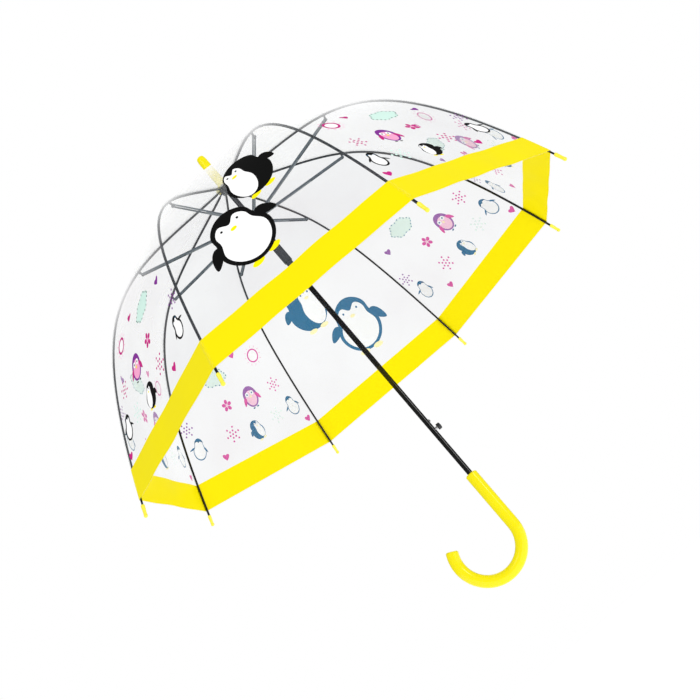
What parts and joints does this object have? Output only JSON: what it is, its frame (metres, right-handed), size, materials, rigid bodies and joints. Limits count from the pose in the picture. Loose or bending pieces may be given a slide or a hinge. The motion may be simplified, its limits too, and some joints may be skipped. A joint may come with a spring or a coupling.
{
  "type": "children's dome umbrella",
  "caption": "Open clear-film dome umbrella for a child with a folding rib frame, sliding runner, release button and crook handle.",
  "frame": {"origin": "on the shaft's axis at the middle of the handle's straight grip", "axes": "+Z along the shaft towards the ferrule, the crook opens towards -X and the release button faces +X"},
  "size_m": [0.613, 0.613, 0.6633],
  "materials": {
    "yellow_plastic": "glossy injection-moulded yellow plastic",
    "black_plastic": "semi-gloss black moulded plastic",
    "black_steel": "glossy black paint on steel",
    "bright_steel": "bare spring steel",
    "clear_film": "clear printed plastic film"
  },
  "bodies": {
    "frame": {"shaft": "black_steel", "ferrule": "yellow_plastic", "top_cap": "yellow_plastic", "crown_notch": "black_plastic", "crown_wire": "bright_steel", "opening_spring": "bright_steel", "handle": "yellow_plastic"},
    "runner": {"runner": "black_plastic", "runner_wire": "bright_steel", "runner_pin": "bright_steel"},
    "trigger": {"release_button": "black_plastic", "catch_spring": "bright_steel"},
    "rib_1_upper": {"rib_1_upper": "black_steel"},
    "rib_1_lower": {"rib_1_lower": "black_steel", "rib_1_tip": "yellow_plastic"},
    "stretcher_1": {"stretcher_1": "black_steel"},
    "panel_1_upper": {"panel_1_upper": "clear_film"},
    "panel_1_lower": {"panel_1_lower": "clear_film"},
    "rib_2_upper": {"rib_2_upper": "black_steel"},
    "rib_2_lower": {"rib_2_lower": "black_steel", "rib_2_tip": "yellow_plastic"},
    "stretcher_2": {"stretcher_2": "black_steel"},
    "panel_2_upper": {"panel_2_upper": "clear_film"},
    "panel_2_lower": {"panel_2_lower": "clear_film"},
    "rib_3_upper": {"rib_3_upper": "black_steel"},
    "rib_3_lower": {"rib_3_lower": "black_steel", "rib_3_tip": "yellow_plastic"},
    "stretcher_3": {"stretcher_3": "black_steel"},
    "panel_3_upper": {"panel_3_upper": "clear_film"},
    "panel_3_lower": {"panel_3_lower": "clear_film"},
    "rib_4_upper": {"rib_4_upper": "black_steel"},
    "rib_4_lower": {"rib_4_lower": "black_steel", "rib_4_tip": "yellow_plastic"},
    "stretcher_4": {"stretcher_4": "black_steel"},
    "panel_4_upper": {"panel_4_upper": "clear_film"},
    "panel_4_lower": {"panel_4_lower": "clear_film"},
    "rib_5_upper": {"rib_5_upper": "black_steel"},
    "rib_5_lower": {"rib_5_lower": "black_steel", "rib_5_tip": "yellow_plastic"},
    "stretcher_5": {"stretcher_5": "black_steel"},
    "panel_5_upper": {"panel_5_upper": "clear_film"},
    "panel_5_lower": {"panel_5_lower": "clear_film"},
    "rib_6_upper": {"rib_6_upper": "black_steel"},
    "rib_6_lower": {"rib_6_lower": "black_steel", "rib_6_tip": "yellow_plastic"},
    "stretcher_6": {"stretcher_6": "black_steel"},
    "panel_6_upper": {"panel_6_upper": "clear_film"},
    "panel_6_lower": {"panel_6_lower": "clear_film"},
    "rib_7_upper": {"rib_7_upper": "black_steel"},
    "rib_7_lower": {"rib_7_lower": "black_steel", "rib_7_tip": "yellow_plastic"},
    "stretcher_7": {"stretcher_7": "black_steel"},
    "panel_7_upper": {"panel_7_upper": "clear_film"},
    "panel_7_lower": {"panel_7_lower": "clear_film"},
    "rib_8_upper": {"rib_8_upper": "black_steel"},
    "rib_8_lower": {"rib_8_lower": "black_steel", "rib_8_tip": "yellow_plastic"},
    "stretcher_8": {"stretcher_8": "black_steel"},
    "panel_8_upper": {"panel_8_upper": "clear_film"},
    "panel_8_lower": {"panel_8_lower": "clear_film"}
  },
  "joints": [
    {"name": "runner_slide", "type": "slide", "parent": "frame", "child": "runner", "axis": [0, 0, -1], "range_m": [0, 0.248], "stiffness_N_per_m": 60, "springref_m": -0.06},
    {"name": "trigger_press", "type": "slide", "parent": "frame", "child": "trigger", "axis": [-1, 0, 0], "range_m": [0, 0.0025], "stiffness_N_per_m": 400, "springref_m": -0.002},
    {"name": "rib_1_fold", "type": "hinge", "parent": "frame", "child": "rib_1_upper", "pos_m": [0.00647, -0.00268, 0.52058], "axis": [0.3827, 0.9239, 0], "range_deg": [0, 65.6]},
    {"name": "rib_1_flex", "type": "hinge", "parent": "rib_1_upper", "child": "rib_1_lower", "pos_m": [0.20123, -0.08335, 0.44216], "axis": [0.3827, 0.9239, 0], "range_deg": [-37, 0]},
    {"name": "stretcher_1_fold", "type": "hinge", "parent": "runner", "child": "stretcher_1", "pos_m": [0.00785, -0.00325, 0.46098], "axis": [0.3827, 0.9239, 0], "range_deg": [-77.44, 0]},
    {"name": "panel_1_fold", "type": "hinge", "parent": "frame", "child": "panel_1_upper", "pos_m": [0.00647, 0, 0.52058], "axis": [0, 1, 0], "range_deg": [0, 64.1], "deforming": ["panel_1_upper"]},
    {"name": "panel_1_flex", "type": "hinge", "parent": "panel_1_upper", "child": "panel_1_lower", "pos_m": [0.20251, 0, 0.44354], "axis": [0, 1, 0], "range_deg": [-36.8, 0], "deforming": ["panel_1_lower"]},
    {"name": "rib_2_fold", "type": "hinge", "parent": "frame", "child": "rib_2_upper", "pos_m": [0.00647, 0.00268, 0.52058], "axis": [-0.3827, 0.9239, 0], "range_deg": [0, 65.6]},
    {"name": "rib_2_flex", "type": "hinge", "parent": "rib_2_upper", "child": "rib_2_lower", "pos_m": [0.20123, 0.08335, 0.44216], "axis": [-0.3827, 0.9239, 0], "range_deg": [-37, 0]},
    {"name": "stretcher_2_fold", "type": "hinge", "parent": "runner", "child": "stretcher_2", "pos_m": [0.00785, 0.00325, 0.46098], "axis": [-0.3827, 0.9239, 0], "range_deg": [-77.44, 0]},
    {"name": "panel_2_fold", "type": "hinge", "parent": "frame", "child": "panel_2_upper", "pos_m": [0.00457, 0.00457, 0.52058], "axis": [-0.7071, 0.7071, 0], "range_deg": [0, 64.1], "deforming": ["panel_2_upper"]},
    {"name": "panel_2_flex", "type": "hinge", "parent": "panel_2_upper", "child": "panel_2_lower", "pos_m": [0.1432, 0.1432, 0.44354], "axis": [-0.7071, 0.7071, 0], "range_deg": [-36.8, 0], "deforming": ["panel_2_lower"]},
    {"name": "rib_3_fold", "type": "hinge", "parent": "frame", "child": "rib_3_upper", "pos_m": [0.00268, 0.00647, 0.52058], "axis": [-0.9239, 0.3827, 0], "range_deg": [0, 65.6]},
    {"name": "rib_3_flex", "type": "hinge", "parent": "rib_3_upper", "child": "rib_3_lower", "pos_m": [0.08335, 0.20123, 0.44216], "axis": [-0.9239, 0.3827, 0], "range_deg": [-37, 0]},
    {"name": "stretcher_3_fold", "type": "hinge", "parent": "runner", "child": "stretcher_3", "pos_m": [0.00325, 0.00785, 0.46098], "axis": [-0.9239, 0.3827, 0], "range_deg": [-77.44, 0]},
    {"name": "panel_3_fold", "type": "hinge", "parent": "frame", "child": "panel_3_upper", "pos_m": [0, 0.00647, 0.52058], "axis": [-1, 0, 0], "range_deg": [0, 64.1], "deforming": ["panel_3_upper"]},
    {"name": "panel_3_flex", "type": "hinge", "parent": "panel_3_upper", "child": "panel_3_lower", "pos_m": [0, 0.20251, 0.44354], "axis": [-1, 0, 0], "range_deg": [-36.8, 0], "deforming": ["panel_3_lower"]},
    {"name": "rib_4_fold", "type": "hinge", "parent": "frame", "child": "rib_4_upper", "pos_m": [-0.00268, 0.00647, 0.52058], "axis": [-0.9239, -0.3827, 0], "range_deg": [0, 65.6]},
    {"name": "rib_4_flex", "type": "hinge", "parent": "rib_4_upper", "child": "rib_4_lower", "pos_m": [-0.08335, 0.20123, 0.44216], "axis": [-0.9239, -0.3827, 0], "range_deg": [-37, 0]},
    {"name": "stretcher_4_fold", "type": "hinge", "parent": "runner", "child": "stretcher_4", "pos_m": [-0.00325, 0.00785, 0.46098], "axis": [-0.9239, -0.3827, 0], "range_deg": [-77.44, 0]},
    {"name": "panel_4_fold", "type": "hinge", "parent": "frame", "child": "panel_4_upper", "pos_m": [-0.00457, 0.00457, 0.52058], "axis": [-0.7071, -0.7071, 0], "range_deg": [0, 64.1], "deforming": ["panel_4_upper"]},
    {"name": "panel_4_flex", "type": "hinge", "parent": "panel_4_upper", "child": "panel_4_lower", "pos_m": [-0.1432, 0.1432, 0.44354], "axis": [-0.7071, -0.7071, 0], "range_deg": [-36.8, 0], "deforming": ["panel_4_lower"]},
    {"name": "rib_5_fold", "type": "hinge", "parent": "frame", "child": "rib_5_upper", "pos_m": [-0.00647, 0.00268, 0.52058], "axis": [-0.3827, -0.9239, 0], "range_deg": [0, 65.6]},
    {"name": "rib_5_flex", "type": "hinge", "parent": "rib_5_upper", "child": "rib_5_lower", "pos_m": [-0.20123, 0.08335, 0.44216], "axis": [-0.3827, -0.9239, 0], "range_deg": [-37, 0]},
    {"name": "stretcher_5_fold", "type": "hinge", "parent": "runner", "child": "stretcher_5", "pos_m": [-0.00785, 0.00325, 0.46098], "axis": [-0.3827, -0.9239, 0], "range_deg": [-77.44, 0]},
    {"name": "panel_5_fold", "type": "hinge", "parent": "frame", "child": "panel_5_upper", "pos_m": [-0.00647, 0, 0.52058], "axis": [0, -1, 0], "range_deg": [0, 64.1], "deforming": ["panel_5_upper"]},
    {"name": "panel_5_flex", "type": "hinge", "parent": "panel_5_upper", "child": "panel_5_lower", "pos_m": [-0.20251, 0, 0.44354], "axis": [0, -1, 0], "range_deg": [-36.8, 0], "deforming": ["panel_5_lower"]},
    {"name": "rib_6_fold", "type": "hinge", "parent": "frame", "child": "rib_6_upper", "pos_m": [-0.00647, -0.00268, 0.52058], "axis": [0.3827, -0.9239, 0], "range_deg": [0, 65.6]},
    {"name": "rib_6_flex", "type": "hinge", "parent": "rib_6_upper", "child": "rib_6_lower", "pos_m": [-0.20123, -0.08335, 0.44216], "axis": [0.3827, -0.9239, 0], "range_deg": [-37, 0]},
    {"name": "stretcher_6_fold", "type": "hinge", "parent": "runner", "child": "stretcher_6", "pos_m": [-0.00785, -0.00325, 0.46098], "axis": [0.3827, -0.9239, 0], "range_deg": [-77.44, 0]},
    {"name": "panel_6_fold", "type": "hinge", "parent": "frame", "child": "panel_6_upper", "pos_m": [-0.00457, -0.00457, 0.52058], "axis": [0.7071, -0.7071, 0], "range_deg": [0, 64.1], "deforming": ["panel_6_upper"]},
    {"name": "panel_6_flex", "type": "hinge", "parent": "panel_6_upper", "child": "panel_6_lower", "pos_m": [-0.1432, -0.1432, 0.44354], "axis": [0.7071, -0.7071, 0], "range_deg": [-36.8, 0], "deforming": ["panel_6_lower"]},
    {"name": "rib_7_fold", "type": "hinge", "parent": "frame", "child": "rib_7_upper", "pos_m": [-0.00268, -0.00647, 0.52058], "axis": [0.9239, -0.3827, 0], "range_deg": [0, 65.6]},
    {"name": "rib_7_flex", "type": "hinge", "parent": "rib_7_upper", "child": "rib_7_lower", "pos_m": [-0.08335, -0.20123, 0.44216], "axis": [0.9239, -0.3827, 0], "range_deg": [-37, 0]},
    {"name": "stretcher_7_fold", "type": "hinge", "parent": "runner", "child": "stretcher_7", "pos_m": [-0.00325, -0.00785, 0.46098], "axis": [0.9239, -0.3827, 0], "range_deg": [-77.44, 0]},
    {"name": "panel_7_fold", "type": "hinge", "parent": "frame", "child": "panel_7_upper", "pos_m": [0, -0.00647, 0.52058], "axis": [1, 0, 0], "range_deg": [0, 64.1], "deforming": ["panel_7_upper"]},
    {"name": "panel_7_flex", "type": "hinge", "parent": "panel_7_upper", "child": "panel_7_lower", "pos_m": [0, -0.20251, 0.44354], "axis": [1, 0, 0], "range_deg": [-36.8, 0], "deforming": ["panel_7_lower"]},
    {"name": "rib_8_fold", "type": "hinge", "parent": "frame", "child": "rib_8_upper", "pos_m": [0.00268, -0.00647, 0.52058], "axis": [0.9239, 0.3827, 0], "range_deg": [0, 65.6]},
    {"name": "rib_8_flex", "type": "hinge", "parent": "rib_8_upper", "child": "rib_8_lower", "pos_m": [0.08335, -0.20123, 0.44216], "axis": [0.9239, 0.3827, 0], "range_deg": [-37, 0]},
    {"name": "stretcher_8_fold", "type": "hinge", "parent": "runner", "child": "stretcher_8", "pos_m": [0.00325, -0.00785, 0.46098], "axis": [0.9239, 0.3827, 0], "range_deg": [-77.44, 0]},
    {"name": "panel_8_fold", "type": "hinge", "parent": "frame", "child": "panel_8_upper", "pos_m": [0.00457, -0.00457, 0.52058], "axis": [0.7071, 0.7071, 0], "range_deg": [0, 64.1], "deforming": ["panel_8_upper"]},
    {"name": "panel_8_flex", "type": "hinge", "parent": "panel_8_upper", "child": "panel_8_lower", "pos_m": [0.1432, -0.1432, 0.44354], "axis": [0.7071, 0.7071, 0], "range_deg": [-36.8, 0], "deforming": ["panel_8_lower"]}
  ],
  "couplings": [
    {"joint": "rib_1_fold", "follows": "runner_slide", "rad_per_m": 4.6096},
    {"joint": "rib_1_flex", "follows": "runner_slide", "rad_per_m": -2.5969},
    {"joint": "stretcher_1_fold", "follows": "runner_slide", "rad_per_m": -5.4429},
    {"joint": "panel_1_fold", "follows": "runner_slide", "rad_per_m": 4.5041},
    {"joint": "panel_1_flex", "follows": "runner_slide", "rad_per_m": -2.5828},
    {"joint": "rib_2_fold", "follows": "runner_slide", "rad_per_m": 4.6096},
    {"joint": "rib_2_flex", "follows": "runner_slide", "rad_per_m": -2.5969},
    {"joint": "stretcher_2_fold", "follows": "runner_slide", "rad_per_m": -5.4429},
    {"joint": "panel_2_fold", "follows": "runner_slide", "rad_per_m": 4.5041},
    {"joint": "panel_2_flex", "follows": "runner_slide", "rad_per_m": -2.5828},
    {"joint": "rib_3_fold", "follows": "runner_slide", "rad_per_m": 4.6096},
    {"joint": "rib_3_flex", "follows": "runner_slide", "rad_per_m": -2.5969},
    {"joint": "stretcher_3_fold", "follows": "runner_slide", "rad_per_m": -5.4429},
    {"joint": "panel_3_fold", "follows": "runner_slide", "rad_per_m": 4.5041},
    {"joint": "panel_3_flex", "follows": "runner_slide", "rad_per_m": -2.5828},
    {"joint": "rib_4_fold", "follows": "runner_slide", "rad_per_m": 4.6096},
    {"joint": "rib_4_flex", "follows": "runner_slide", "rad_per_m": -2.5969},
    {"joint": "stretcher_4_fold", "follows": "runner_slide", "rad_per_m": -5.4429},
    {"joint": "panel_4_fold", "follows": "runner_slide", "rad_per_m": 4.5041},
    {"joint": "panel_4_flex", "follows": "runner_slide", "rad_per_m": -2.5828},
    {"joint": "rib_5_fold", "follows": "runner_slide", "rad_per_m": 4.6096},
    {"joint": "rib_5_flex", "follows": "runner_slide", "rad_per_m": -2.5969},
    {"joint": "stretcher_5_fold", "follows": "runner_slide", "rad_per_m": -5.4429},
    {"joint": "panel_5_fold", "follows": "runner_slide", "rad_per_m": 4.5041},
    {"joint": "panel_5_flex", "follows": "runner_slide", "rad_per_m": -2.5828},
    {"joint": "rib_6_fold", "follows": "runner_slide", "rad_per_m": 4.6096},
    {"joint": "rib_6_flex", "follows": "runner_slide", "rad_per_m": -2.5969},
    {"joint": "stretcher_6_fold", "follows": "runner_slide", "rad_per_m": -5.4429},
    {"joint": "panel_6_fold", "follows": "runner_slide", "rad_per_m": 4.5041},
    {"joint": "panel_6_flex", "follows": "runner_slide", "rad_per_m": -2.5828},
    {"joint": "rib_7_fold", "follows": "runner_slide", "rad_per_m": 4.6096},
    {"joint": "rib_7_flex", "follows": "runner_slide", "rad_per_m": -2.5969},
    {"joint": "stretcher_7_fold", "follows": "runner_slide", "rad_per_m": -5.4429},
    {"joint": "panel_7_fold", "follows": "runner_slide", "rad_per_m": 4.5041},
    {"joint": "panel_7_flex", "follows": "runner_slide", "rad_per_m": -2.5828},
    {"joint": "rib_8_fold", "follows": "runner_slide", "rad_per_m": 4.6096},
    {"joint": "rib_8_flex", "follows": "runner_slide", "rad_per_m": -2.5969},
    {"joint": "stretcher_8_fold", "follows": "runner_slide", "rad_per_m": -5.4429},
    {"joint": "panel_8_fold", "follows": "runner_slide", "rad_per_m": 4.5041},
    {"joint": "panel_8_flex", "follows": "runner_slide", "rad_per_m": -2.5828}
  ]
}
